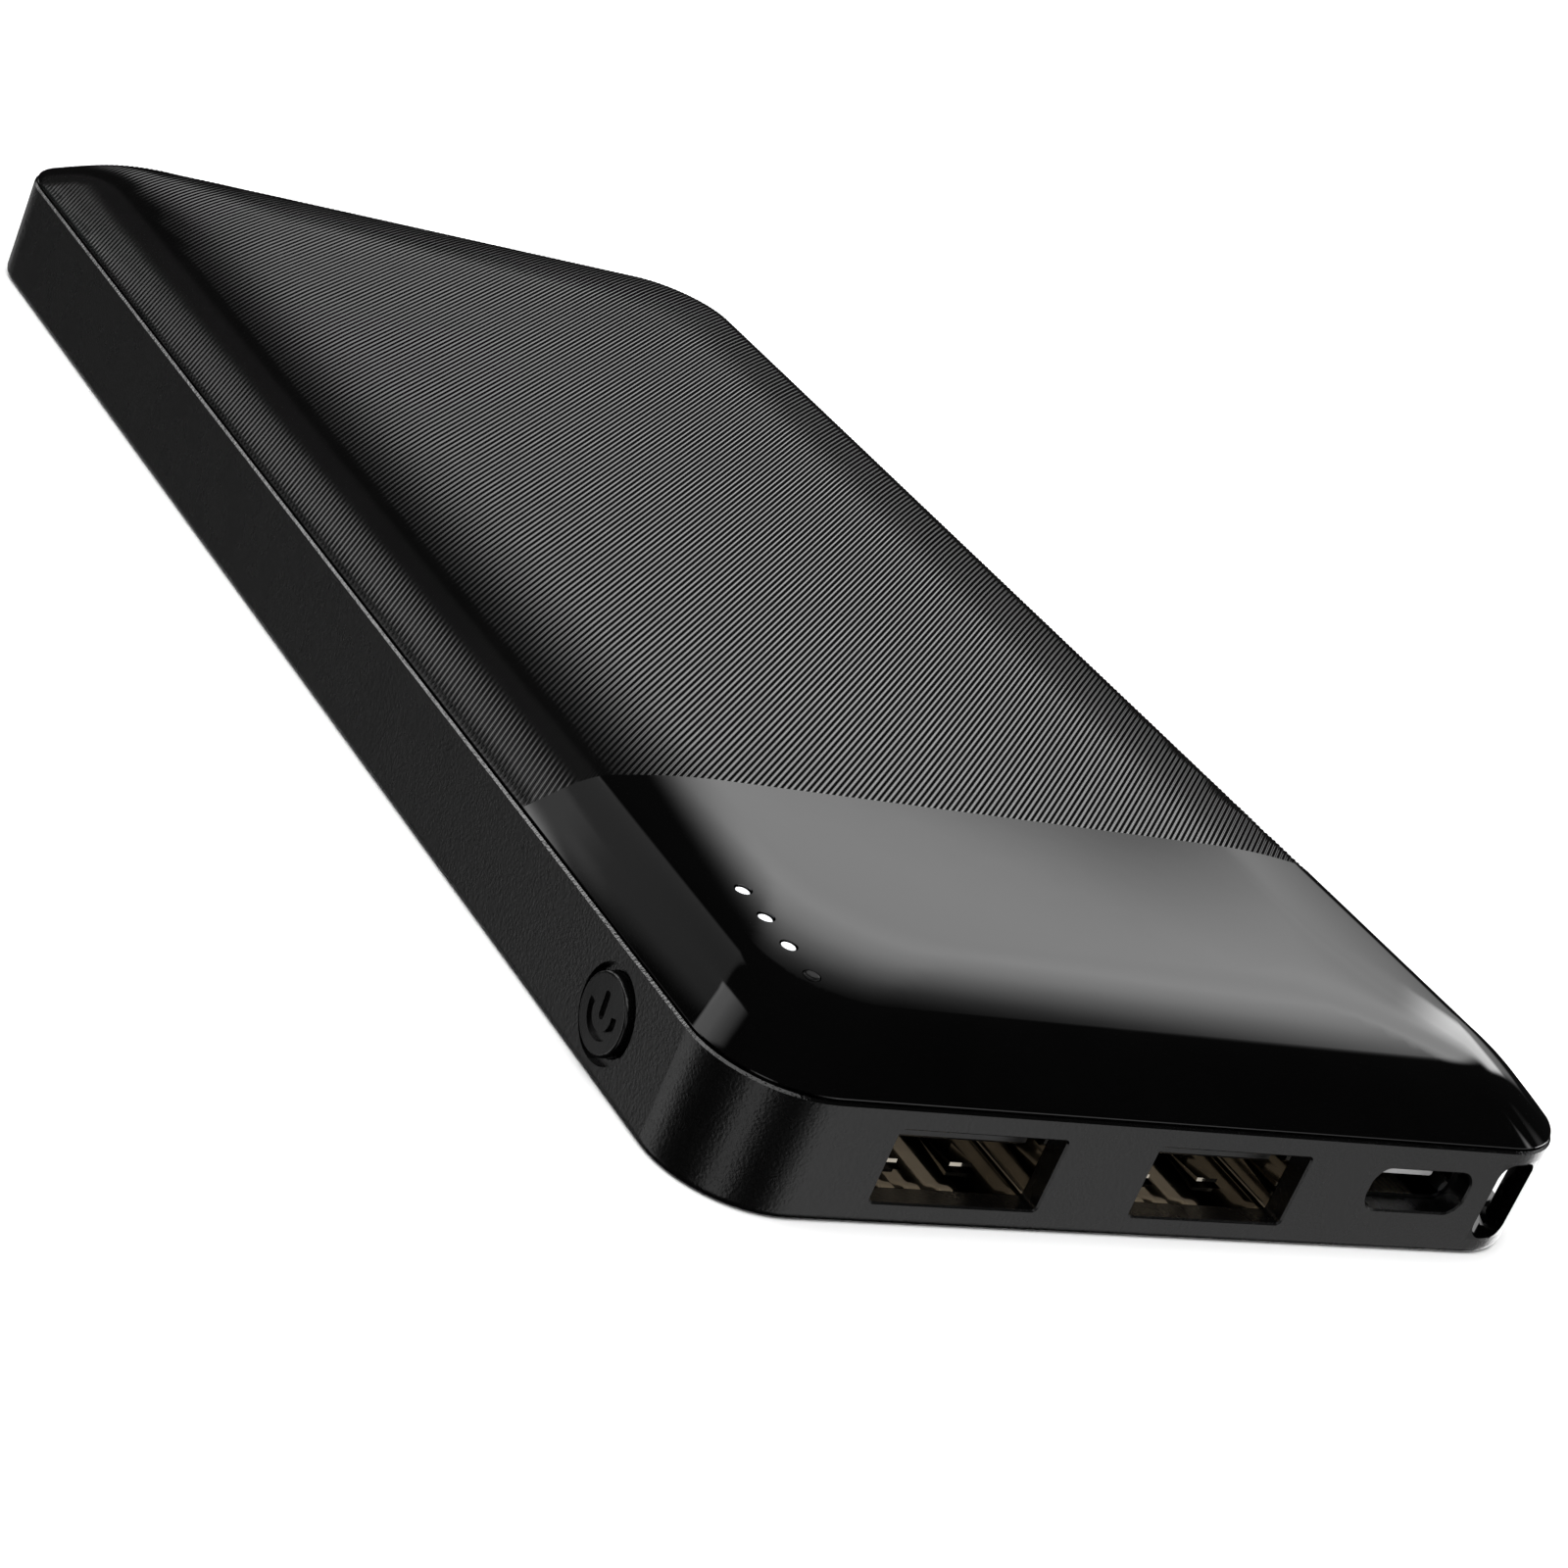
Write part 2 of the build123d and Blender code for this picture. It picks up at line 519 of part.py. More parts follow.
def main():
    os.makedirs("parts", exist_ok=True)
    save(make_tray(), "bottom_tray")
    save(make_cover(), "top_cover")
    save(make_button(), "power_button")
    switch_body, switch_plunger = switch_parts()
    save(switch_body, "switch_body")
    save(switch_plunger, "switch_plunger")
    for number, x in enumerate(USB_A_XS, 1):
        shell, insulator, contacts = make_usb_a(x)
        save(shell, f"usb_a_shell_{number}")
        save(insulator, f"usb_a_insulator_{number}")
        save(contacts, f"usb_a_contacts_{number}")
    shell, insulator, contacts = make_usb_c()
    save(shell, "usb_c_shell")
    save(insulator, "usb_c_insulator")
    save(contacts, "usb_c_contacts")
    save(make_board(), "circuit_board")
    save(make_screws(), "board_screws")
    save(make_inductor(-13.5, -46.6), "power_inductor")
    save(make_capacitors(), "ceramic_capacitors")
    save(chip(-4.0, -46.6, 4.0, 4.0, 0.9), "charge_controller_chip")
    save(gull_wing_chip(4.6, -47.4, 8), "protection_chip")
    for number, led in enumerate(make_leds(), 1):
        save(led, f"charge_led_{number}")
    for number, pin in enumerate(make_light_pins(), 1):
        save(pin, f"light_pin_{number}")
    save(make_light_baffle(), "light_baffle")
    save(make_cell(), "battery_cell")
    for name, x in TAB_XS.items():
        save(make_tab(x), f"{name}_tab")
        save(make_lead(x), f"{name}_lead")
    tape = block((-14.0, 14.0), (CELL_FRONT - 0.06, CELL_FRONT), (2.6, 6.3))
    save(tape, "terminal_tape")
    strips = [block((x - 5, x + 5), (-28.0, 56.0), (FLOOR, CELL_LOW)) for x in (-18.0, 18.0)]
    save(Compound(children=strips), "cell_adhesive_strips")
    pad_top = HEIGHT - COVER_SKIN
    save(block((-12.0, 12.0), (-15.0, 43.0), (CELL_HIGH, pad_top)), "cell_foam_pad")


main()
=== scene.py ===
import json
import math

import bmesh
import bpy
import numpy as np
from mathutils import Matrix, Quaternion, Vector
from mathutils.geometry import delaunay_2d_cdt


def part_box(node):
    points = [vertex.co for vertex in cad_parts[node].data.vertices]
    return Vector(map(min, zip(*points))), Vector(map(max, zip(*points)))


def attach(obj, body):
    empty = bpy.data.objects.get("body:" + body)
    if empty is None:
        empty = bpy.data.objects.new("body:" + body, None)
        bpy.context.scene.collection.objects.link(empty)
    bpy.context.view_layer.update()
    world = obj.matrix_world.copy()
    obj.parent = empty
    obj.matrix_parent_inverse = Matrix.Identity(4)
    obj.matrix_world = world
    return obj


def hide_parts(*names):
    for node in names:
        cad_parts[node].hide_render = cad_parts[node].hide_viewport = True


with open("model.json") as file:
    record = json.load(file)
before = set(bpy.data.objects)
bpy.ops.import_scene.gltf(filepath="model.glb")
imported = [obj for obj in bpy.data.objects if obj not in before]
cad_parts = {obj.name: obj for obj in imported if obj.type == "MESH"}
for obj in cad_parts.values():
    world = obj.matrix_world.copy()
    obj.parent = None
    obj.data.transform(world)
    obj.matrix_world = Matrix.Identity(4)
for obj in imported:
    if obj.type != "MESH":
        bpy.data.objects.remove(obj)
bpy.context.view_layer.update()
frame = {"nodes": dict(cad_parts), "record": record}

# Everything about the cover is worked out in millimetres, then scaled to metres.
MM = 0.001

tray_low, tray_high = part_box("bottom_tray")
cover_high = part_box("top_cover")[1]
HALF_X = tray_high.x / MM
HALF_Y = tray_high.y / MM
COVER_LOW = 8.45  # lower edge of the cover's skirt, just above the tray
COVER_TOP = cover_high.z / MM

# Cover shape
COVER_INSET = 0.15
COVER_RIM = 0.10  # upright edge of the skirt
BEVEL_SLOPE = 0.72
BEVEL_BOW = 0.035  # the bevel bows below this inset, and meets its straight part in a soft crease
BEVEL_CREASE = 1.5
DOME_DROP = 1.66
DOME_REACH = 13.9  # the crown is flat further in than this
KNEE_BLEND = 0.90
CORNER_R = 7.0

# Ribbed and gloss fields
BORDER_Y = -37.06
RIB_PITCH = 0.367
RIB_DEPTH = 0.062
RIB_SINK = 0.012  # rib tops lie this far under the gloss field's level
RIB_PHASES = (0.0, 0.155, 0.31, 0.465, 0.62, 0.81)
RIB_LONG_SIDE = 0.62  # share of the pitch that the rib's gentler side takes
RIB_FADE = (0.15, 0.75)  # the ribs run out between these insets from the tray's wall
LINE_STEPS = (0, 0.2, 0.7, 1.5, 2.5, 3.3, 3.9, 4.5, 5.1, 5.7, 6.3, 7, 8, 10, 13.5, 20)
LINE_STEPS_ROOM = 22.0
MIDDLE_POINTS = 3
RIBBED, GLOSS = 0, 1  # the cover's material slots
CONTOURS = (0.3, 0.6, 1.0, 1.5, 1.9, 2.2, 2.5, 2.75, 3.0, 3.25, 3.5, 3.75, 4.0, 4.25, 4.5,
            4.75, 5.0, 5.3, 5.7, 6.2, 7.0, 8.0, 9.0, 10.2, 11.5, 12.8, 13.8, 18, 23, 28)
CEILING_CONTOURS = (3.2, 4, 5, 6.5, 9, 13.8, 23)
ROOT2 = math.sqrt(2)

# Polished places on the tray: the lining of the lanyard passage, by its distance from the
# corner's sharp apex and its height, and the tray's top edge
LANYARD_NEAR, LANYARD_FAR = 3.93, 7.50
LANYARD_FLOOR, LANYARD_TOP = 1.32, 7.27
TRAY_EDGE_LOW = 8.09
LINING_ROUGH, TRAY_EDGE_ROUGH = 0.05, 0.12
SIDE_BLEND, HEIGHT_BLEND, TRAY_EDGE_BLEND = 0.08, 0.06, 0.03  # width of each polish's soft limit

# Inner side of the cover
LIP_OUTER = 1.7
LIP_INNER = 2.5
LIP_LOW = 7.3
SKIN = 1.2
LIGHT_HOLE_R = 0.60
LIGHT_HOLE_SIDES = 40
LIGHT_SPREAD = (0.60, 0.78, 1.1, 1.5)  # rings of mesh points round each light hole
# painted light and shade: a lit pin's white stands in for its LED's light, and the dark beyond the second
# radius is painted shade where the pin sits in the cover's hole
PIN_WHITE_R, PIN_SHADE_R = 0.46, 0.49  # a lit pin is white inside the first, dark beyond the second

# Mesh fineness: points along a long side, along an end and round each corner
EDGE_POINTS = (120, 60, 40)
RING_POINTS = (240, 150, 32)
INNER_POINTS = (24, 12, 12)
BISECTION_STEPS = 36
NORMAL_STEP = 0.004


# ---------------------------------------------------------------- cover shape


def corner_radius(inset):
    """Plan corner radius of the cover's contour at an inset from the tray's wall."""
    return CORNER_R - 0.30 * inset + 0.04 * inset * inset


def crown_height(inset):
    """Height of the outer skin at an inset from the tray's wall."""
    bevel = COVER_LOW + COVER_RIM + BEVEL_SLOPE * (inset - COVER_INSET)
    bevel = bevel - BEVEL_BOW / 2 * np.maximum(0.0, BEVEL_CREASE - inset) ** 2
    dome = COVER_TOP - DOME_DROP * np.maximum(0.0, 1 - inset / DOME_REACH) ** 2
    near = np.maximum(KNEE_BLEND - np.abs(bevel - dome), 0) / KNEE_BLEND
    return np.minimum(bevel, dome) - near * near * KNEE_BLEND / 4


def inset_at(x, y):
    """Inset of the contour that passes through each plan point, found by bisection."""
    low = np.zeros_like(x)
    high = np.full_like(x, DOME_REACH)
    for _ in range(BISECTION_STEPS):
        inset = (low + high) / 2
        radius = corner_radius(inset)
        qx = np.abs(x) - (HALF_X - inset - radius)
        qy = np.abs(y) - (HALF_Y - inset - radius)
        over = np.hypot(np.maximum(qx, 0), np.maximum(qy, 0))
        outside = over + np.minimum(np.maximum(qx, qy), 0) > radius
        high = np.where(outside, inset, high)
        low = np.where(outside, low, inset)
    return (low + high) / 2


def rib_relief(x, y, inset):
    """How far the ribbed skin lies under the smooth crown."""
    across = (y - x) / ROOT2 - CORNER_LINE
    phase = across / RIB_PITCH
    phase = phase - np.floor(phase)
    long_side = phase / RIB_LONG_SIDE
    short_side = (1 - phase) / (1 - RIB_LONG_SIDE)
    valley = (1 - np.cos(math.pi * np.minimum(long_side, short_side))) / 2
    fade = np.clip((inset - RIB_FADE[0]) / (RIB_FADE[1] - RIB_FADE[0]), 0, 1)
    return (RIB_SINK + RIB_DEPTH * valley) * fade


def skin_height(x, y, ribbed):
    inset = inset_at(x, y)
    height = crown_height(inset)
    if ribbed:
        height = height - rib_relief(x, y, inset)
    return height


def skin_normals(x, y, ribbed):
    """True surface normals of the outer skin, from its slope both ways."""
    dx = skin_height(x + NORMAL_STEP, y, ribbed) - skin_height(x - NORMAL_STEP, y, ribbed)
    dy = skin_height(x, y + NORMAL_STEP, ribbed) - skin_height(x, y - NORMAL_STEP, ribbed)
    normals = np.stack([-dx, -dy, np.full_like(x, 2 * NORMAL_STEP)], axis=1)
    return normals / np.linalg.norm(normals, axis=1)[:, None]


# Cover outline in plan
EDGE_X = HALF_X - COVER_INSET
EDGE_Y = HALF_Y - COVER_INSET
EDGE_R = corner_radius(COVER_INSET)
CORNER_LINE = (BORDER_Y + EDGE_X) / ROOT2  # the rib line through the border's left end


# ---------------------------------------------------------------- mesh helpers


class Shell:
    """Collects vertices and faces in millimetres and makes one mesh of them."""

    def __init__(self):
        self.points = []
        self.normals = []
        self.faces = []
        self.slots = []
        self.smooth = []
        self.total = 0

    def add_points(self, points, normals=None):
        """Adds points and returns the number of the first one."""
        start = self.total
        points = np.asarray(points, float)
        if normals is None:
            normals = np.zeros_like(points)
        self.points.append(points)
        self.normals.append(normals)
        self.total += len(points)
        return start

    def add_faces(self, faces, slot, smooth):
        """Adds faces. A smooth face takes its points' own normals, any other one stays flat."""
        self.faces.extend(faces)
        self.slots.extend([slot] * len(faces))
        self.smooth.extend([smooth] * len(faces))

    def make(self, name):
        """The closed mesh object, in metres."""
        mesh = bpy.data.meshes.new(name)
        points = np.concatenate(self.points) * MM
        mesh.from_pydata(points.tolist(), [], self.faces)
        mesh.polygons.foreach_set("material_index", self.slots)
        turn_outward(mesh)
        mesh.shade_smooth()
        point_of = np.empty(len(mesh.loops), np.int32)
        mesh.loops.foreach_get("vertex_index", point_of)
        sides = np.empty(len(mesh.polygons), np.int32)
        mesh.polygons.foreach_get("loop_total", sides)
        flat = np.empty(len(mesh.polygons) * 3)
        mesh.polygons.foreach_get("normal", flat)
        flat = np.repeat(flat.reshape(-1, 3), sides, axis=0)
        smooth = np.repeat(self.smooth, sides)
        own = np.concatenate(self.normals)[point_of]
        normals = np.where(smooth[:, None], own, flat)
        mesh.normals_split_custom_set(normals.tolist())
        made = bpy.data.objects.new(name, mesh)
        bpy.context.scene.collection.objects.link(made)
        return made


def turn_outward(mesh):
    """Makes every face of a closed mesh look outward."""
    work = bmesh.new()
    work.from_mesh(mesh)
    bmesh.ops.recalc_face_normals(work, faces=work.faces)
    work.to_mesh(mesh)
    work.free()


def fill_plan(loops, extra=()):
    """Triangulates the plan area inside the first loop and outside the others.

    The triangles number the points in the order given: each loop in turn, then the extra ones."""
    coords = []
    edges = []
    for loop in loops:
        start = len(coords)
        count = len(loop)
        coords.extend(loop)
        edges.extend((start + i, start + (i + 1) % count) for i in range(count))
    coords.extend(extra)
    made = delaunay_2d_cdt([Vector(c) for c in coords], edges, [], 2, 1e-7)
    faces, origins = made[2], made[3]
    loop_of = np.repeat(np.arange(len(loops) + 1), [*map(len, loops), len(extra)])
    kept = []
    for face in faces:
        corners = tuple(origins[corner][0] for corner in face)
        loops_met = set(loop_of[list(corners)])
        in_hole = len(loops_met) == 1 and 0 < loops_met.pop() < len(loops)
        if not in_hole:
            kept.append(corners)
    return kept


def band(first, second):
    """Quads between two closed loops that have the same number of points."""
    count = len(first)
    pairs = [(i, (i + 1) % count) for i in range(count)]
    return [(first[a], first[b], second[b], second[a]) for a, b in pairs]


def arc(centre, radius, start, end, count):
    """Points along an arc, angles in degrees, both ends included."""
    turns = np.radians(np.linspace(start, end, count))
    return np.stack([centre[0] + radius * np.cos(turns), centre[1] + radius * np.sin(turns)], axis=1)


def contour(inset, side_points, end_points, arc_points):
    """The closed plan contour at an inset, counter-clockwise from the middle of the left side."""
    radius = corner_radius(inset)
    far_x, far_y = HALF_X - inset, HALF_Y - inset
    near_x, near_y = far_x - radius, far_y - radius
    stretches = []
    for turn, sx, sy in ((180, -1, -1), (270, 1, -1), (0, 1, 1), (90, -1, 1)):
        stretches.append(arc((sx * near_x, sy * near_y), radius, turn, turn + 90, arc_points))
        along_end = turn in (180, 0)
        count = end_points if along_end else side_points
        share = np.linspace(0, 1, count + 2)[1:-1, None]
        if along_end:
            a, b = np.array([sx * near_x, sy * far_y]), np.array([-sx * near_x, sy * far_y])
        else:
            a, b = np.array([sx * far_x, sy * near_y]), np.array([sx * far_x, -sy * near_y])
        stretches.append(a + (b - a) * share)
    return np.concatenate(stretches)


# ---------------------------------------------------------------- top cover


def rib_line_places():
    """Where each rib line lies across the cover: a few lines to every rib."""
    rear_corner = (EDGE_Y - EDGE_R + EDGE_X - EDGE_R) / ROOT2
    low, high = (BORDER_Y - EDGE_X) / ROOT2, rear_corner + EDGE_R
    first = math.floor((low - CORNER_LINE) / RIB_PITCH)
    last = math.ceil((high - CORNER_LINE) / RIB_PITCH)
    places = [CORNER_LINE + RIB_PITCH * (k + p) for k in range(first, last) for p in RIB_PHASES]
    return np.array([v for v in places if low + 0.01 < v < high - 0.01])


def rib_line_ends(v):
    """Where each 45 degree line at v enters and leaves the ribbed field, measured along it."""
    low = np.maximum(v - ROOT2 * EDGE_X, ROOT2 * BORDER_Y - v)
    high = np.minimum(v + ROOT2 * EDGE_X, ROOT2 * EDGE_Y - v)
    cy = EDGE_Y - EDGE_R
    for side in (-1, 1):
        cx = side * (EDGE_X - EDGE_R)
        along, across = (cx + cy) / ROOT2, (cy - cx) / ROOT2
        reach = np.sqrt(np.maximum(EDGE_R**2 - (v - across) ** 2, 0))
        high_x, high_y = (high - v) / ROOT2, (high + v) / ROOT2
        if side < 0:
            low = np.where((low + v) / ROOT2 > cy, along - reach, low)
            high = np.where(high_x < cx, along + reach, high)
        else:
            high = np.where((high_x > cx) & (high_y > cy), along + reach, high)
    return low, high


def ribbed_field(shell):
    """Adds the ribbed skin. Returns the point numbers along its border and along its outer edge."""
    v = rib_line_places()
    low, high = rib_line_ends(v)
    length = high - low
    steps = np.array(LINE_STEPS)
    scale = np.minimum(1.0, length / 2 / LINE_STEPS_ROOM)[:, None]
    near = low[:, None] + steps * scale
    far = high[:, None] - steps[::-1] * scale
    gap = far[:, :1] - near[:, -1:]
    middle = near[:, -1:] + gap * np.linspace(0, 1, MIDDLE_POINTS + 2)[1:-1]
    u = np.concatenate([near, middle, far], axis=1)
    x, y = (u - v[:, None]) / ROOT2, (u + v[:, None]) / ROOT2
    lines, per_line = u.shape
    rear_x, rear_y = EDGE_R / ROOT2 - EDGE_R + EDGE_X, EDGE_Y - EDGE_R + EDGE_R / ROOT2
    x = np.concatenate([x.ravel(), [EDGE_X, -rear_x]])
    y = np.concatenate([y.ravel(), [BORDER_Y, rear_y]])
    points = np.stack([x, y, skin_height(x, y, True)], axis=1)
    start = shell.add_points(points, skin_normals(x, y, True))
    grid = start + np.arange(lines * per_line).reshape(lines, per_line)
    first_tip, last_tip = start + lines * per_line, start + lines * per_line + 1
    a, b = grid[:-1, :-1], grid[:-1, 1:]
    c, d = grid[1:, 1:], grid[1:, :-1]
    faces = np.stack([a, b, c, d], axis=-1).reshape(-1, 4).tolist()
    faces += [(first_tip, q, p) for p, q in zip(grid[0, :-1], grid[0, 1:])]
    faces += [(p, q, last_tip) for p, q in zip(grid[-1, :-1], grid[-1, 1:])]
    shell.add_faces(faces, RIBBED, True)
    corner = int(np.argmin(np.abs(v - CORNER_LINE)))
    border = [first_tip, *grid[: corner + 1, 0]]
    edge = [*grid[:, -1], last_tip, *grid[corner + 1 :, 0][::-1]]
    return [int(n) for n in border], [int(n) for n in edge]


def gloss_field(shell, border, light_places):
    """Adds the gloss skin up to the border. Returns its outer edge, its border and its light holes."""
    points = np.concatenate(shell.points)
    border_plan = points[border][:, :2]
    front = contour(COVER_INSET, *EDGE_POINTS)
    left = front[(front[:, 1] < BORDER_Y - 0.3)]
    angle = np.arctan2(left[:, 0], -(left[:, 1] - BORDER_Y))
    left = left[np.argsort(angle)]
    outline = np.concatenate([border_plan, left])
    holes = [arc(p, LIGHT_HOLE_R, 0, 360, LIGHT_HOLE_SIDES + 1)[:-1] for p in light_places]
    extra = []
    for inset in CONTOURS:
        ring = contour(inset, *RING_POINTS)
        extra.append(ring[ring[:, 1] < BORDER_Y - 0.25])
    for place in light_places:
        for radius in LIGHT_SPREAD:
            extra.append(arc(place, radius, 0, 360, LIGHT_HOLE_SIDES + 1)[:-1])
    extra = np.concatenate(extra)
    for place in light_places:
        gap = np.hypot(*(extra - np.array(place)).T)
        on_ring = np.min(np.abs(gap[:, None] - np.array(LIGHT_SPREAD)), axis=1) < 1e-6
        extra = extra[(gap > LIGHT_SPREAD[-1] + 0.1) | on_ring]
    triangles = fill_plan([outline, *holes], extra)
    plan = np.concatenate([outline, *holes, extra])
    x, y = plan[:, 0], plan[:, 1]
    skin = np.stack([x, y, skin_height(x, y, False)], axis=1)
    start = shell.add_points(skin, skin_normals(x, y, False))
    number = np.arange(start, start + len(plan))
    last = len(border) - 1
    number[0], number[last] = border[0], border[last]
    shell.add_faces([tuple(int(number[k]) for k in t) for t in triangles], GLOSS, True)
    top = [int(n) for n in number[: len(border)]]
    steps = [(border[i], border[i + 1], top[i + 1], top[i]) for i in range(1, last - 1)]
    steps.append((border[0], border[1], top[1]))
    steps.append((border[last - 1], border[last], top[last - 1]))
    shell.add_faces(steps, GLOSS, False)
    edge = [int(n) for n in number[len(border) : len(outline)]]
    rings = []
    at = start + len(outline)
    for hole in holes:
        rings.append(list(range(at, at + len(hole))))
        at += len(hole)
    return edge, rings, holes


def make_cover(light_places):
    """The whole top cover: ribbed skin, gloss skin, skirt, snap lip and inner skin."""
    shell = Shell()
    border, rib_edge = ribbed_field(shell)
    gloss_edge, hole_rings, holes = gloss_field(shell, border, light_places)
    outer = [border[0], *rib_edge, border[-1], *gloss_edge]
    plan = np.concatenate(shell.points)[outer][:, :2]
    rim = shell.add_points(np.column_stack([plan, np.full(len(plan), COVER_LOW)]))
    rim = list(range(rim, rim + len(plan)))
    shell.add_faces(band(rim, outer), GLOSS, False)

    lip_plan = [contour(inset, *INNER_POINTS) for inset in (LIP_OUTER, LIP_INNER)]
    count = len(lip_plan[0])
    loops = []
    for loop, height in ((0, COVER_LOW), (0, LIP_LOW), (1, LIP_LOW)):
        at = shell.add_points(np.column_stack([lip_plan[loop], np.full(count, height)]))
        loops.append(list(range(at, at + count)))
    numbers = rim + loops[0]
    skirt = fill_plan([plan, lip_plan[0]])
    shell.add_faces([tuple(numbers[k] for k in t) for t in skirt], RIBBED, False)
    shell.add_faces(band(loops[0], loops[1]) + band(loops[1], loops[2]), RIBBED, False)

    ceiling = [contour(inset, *INNER_POINTS) for inset in CEILING_CONTOURS]
    extra = np.concatenate(ceiling)
    for place in light_places:
        extra = extra[np.hypot(*(extra - np.array(place)).T) > LIGHT_HOLE_R + 0.2]
    inside = np.concatenate([lip_plan[1], *holes, extra])
    height = skin_height(inside[:, 0], inside[:, 1], False) - SKIN
    at = shell.add_points(np.column_stack([inside, height]))
    triangles = fill_plan([lip_plan[1], *holes], extra)
    shell.add_faces([tuple(at + k for k in t) for t in triangles], RIBBED, False)
    shell.add_faces(band(loops[2], list(range(at, at + count))), RIBBED, False)
    at += count
    for ring in hole_rings:
        shell.add_faces(band(ring, list(range(at, at + len(ring)))), GLOSS, False)
        at += len(ring)
    return shell.make("top_cover_shell")


# ---------------------------------------------------------------- materials


def shader(name):
    """A new node material and its Principled shader."""
    material = bpy.data.materials.new(name)
    material.use_nodes = True
    return material, material.node_tree, material.node_tree.nodes["Principled BSDF"]


def add_node(tree, kind, inputs=None, **values):
    """A node with its settings, and with its inputs linked to sockets or set to values."""
    node = tree.nodes.new(kind)
    for key, value in values.items():
        setattr(node, key, value)
    for key, value in (inputs or {}).items():
        if isinstance(value, bpy.types.NodeSocket):
            tree.links.new(value, node.inputs[key])
        else:
            node.inputs[key].default_value = value
    return node


def noise(tree, size, detail=3.0, stretch=(1, 1, 1)):
    """Noise over the object's own space, with features about size millimetres across."""
    place = add_node(tree, "ShaderNodeTexCoord").outputs["Object"]
    scaled = add_node(tree, "ShaderNodeMapping", {"Vector": place, "Scale": stretch})
    inputs = {"Vector": scaled.outputs["Vector"], "Scale": 1 / (size * MM), "Detail": detail}
    return add_node(tree, "ShaderNodeTexNoise", inputs).outputs["Fac"]


NOISE_LOW, NOISE_HIGH = 0.3, 0.7  # nearly all of a noise's values lie between these


def spread(tree, value, low, high):
    """Maps a noise value onto a range."""
    inputs = {"Value": value, "From Min": NOISE_LOW, "From Max": NOISE_HIGH}
    inputs.update({"To Min": low, "To Max": high})
    return add_node(tree, "ShaderNodeMapRange", inputs).outputs["Result"]


def blend_colours(tree, share, first, second):
    inputs = {"Factor": share, 6: (*first, 1), 7: (*second, 1)}
    return add_node(tree, "ShaderNodeMix", inputs, data_type="RGBA").outputs[2]


def moulded(name, dark, light, rough, grain=0.25, depth=0.01, stain=9.0, **uniform):
    """Moulded plastic, metal or ceramic: cloudy colour, uneven roughness and a fine grain."""
    material, tree, bsdf = shader(name)
    cloud = noise(tree, stain, 4.0)
    fine = noise(tree, grain, 2.0)
    tree.links.new(blend_colours(tree, spread(tree, cloud, 0, 1), dark, light), bsdf.inputs["Base Color"])
    tree.links.new(spread(tree, noise(tree, stain / 3, 3.0), *rough), bsdf.inputs["Roughness"])
    bump = add_node(tree, "ShaderNodeBump", {"Height": fine, "Distance": depth * MM, "Strength": 1.0})
    tree.links.new(bump.outputs["Normal"], bsdf.inputs["Normal"])
    for key, value in uniform.items():
        bsdf.inputs[key.replace("_", " ")].default_value = value
    return material


def ramp_up(tree, value, low, high):
    """0 below low, 1 above high, or the other way round if low is the larger."""
    inputs = {"Value": value, "From Min": float(low), "From Max": float(high)}
    return add_node(tree, "ShaderNodeMapRange", inputs).outputs["Result"]


def from_axis(tree, x, y):
    """Distance from the upright axis at x and y, and the height, both in millimetres."""
    place = add_node(tree, "ShaderNodeTexCoord").outputs["Object"]
    turned = {0: place, 1: (1 / MM,) * 3, 2: (-x, -y, 0)}
    moved = add_node(tree, "ShaderNodeVectorMath", turned, operation="MULTIPLY_ADD").outputs[0]
    axes = add_node(tree, "ShaderNodeSeparateXYZ", {"Vector": moved}).outputs
    flat = add_node(tree, "ShaderNodeCombineXYZ", {"X": axes["X"], "Y": axes["Y"]}).outputs[0]
    reach = add_node(tree, "ShaderNodeVectorMath", {0: flat}, operation="LENGTH").outputs["Value"]
    return reach, axes["Z"]


def polish_tray(material):
    """Polishes two places on the tray: the lining of the lanyard passage and the top edge."""
    tree = material.node_tree
    reach, height = from_axis(tree, HALF_X, -HALF_Y)
    lining = ramp_up(tree, height, LANYARD_TOP + HEIGHT_BLEND, LANYARD_TOP)
    for value, low, high in (
        (reach, LANYARD_NEAR - SIDE_BLEND, LANYARD_NEAR),
        (reach, LANYARD_FAR + SIDE_BLEND, LANYARD_FAR),
        (height, LANYARD_FLOOR - HEIGHT_BLEND, LANYARD_FLOOR),
    ):
        limit = ramp_up(tree, value, low, high)
        both = {0: lining, 1: limit}
        lining = add_node(tree, "ShaderNodeMath", both, operation="MULTIPLY").outputs[0]
    edge = ramp_up(tree, height, TRAY_EDGE_LOW - TRAY_EDGE_BLEND, TRAY_EDGE_LOW)
    bsdf = tree.nodes["Principled BSDF"]
    rough = bsdf.inputs["Roughness"].links[0].from_socket
    for share, polish in ((lining, LINING_ROUGH), (edge, TRAY_EDGE_ROUGH)):
        inputs = {0: share, 2: rough, 3: polish}
        rough = add_node(tree, "ShaderNodeMix", inputs, data_type="FLOAT").outputs[0]
    tree.links.new(rough, bsdf.inputs["Roughness"])
    grain = add_node(tree, "ShaderNodeMath", {0: 1.0, 1: lining}, operation="SUBTRACT").outputs[0]
    bump = bsdf.inputs["Normal"].links[0].from_node
    tree.links.new(grain, bump.inputs["Strength"])
    return material


def grey(level):
    return (level, level, level)


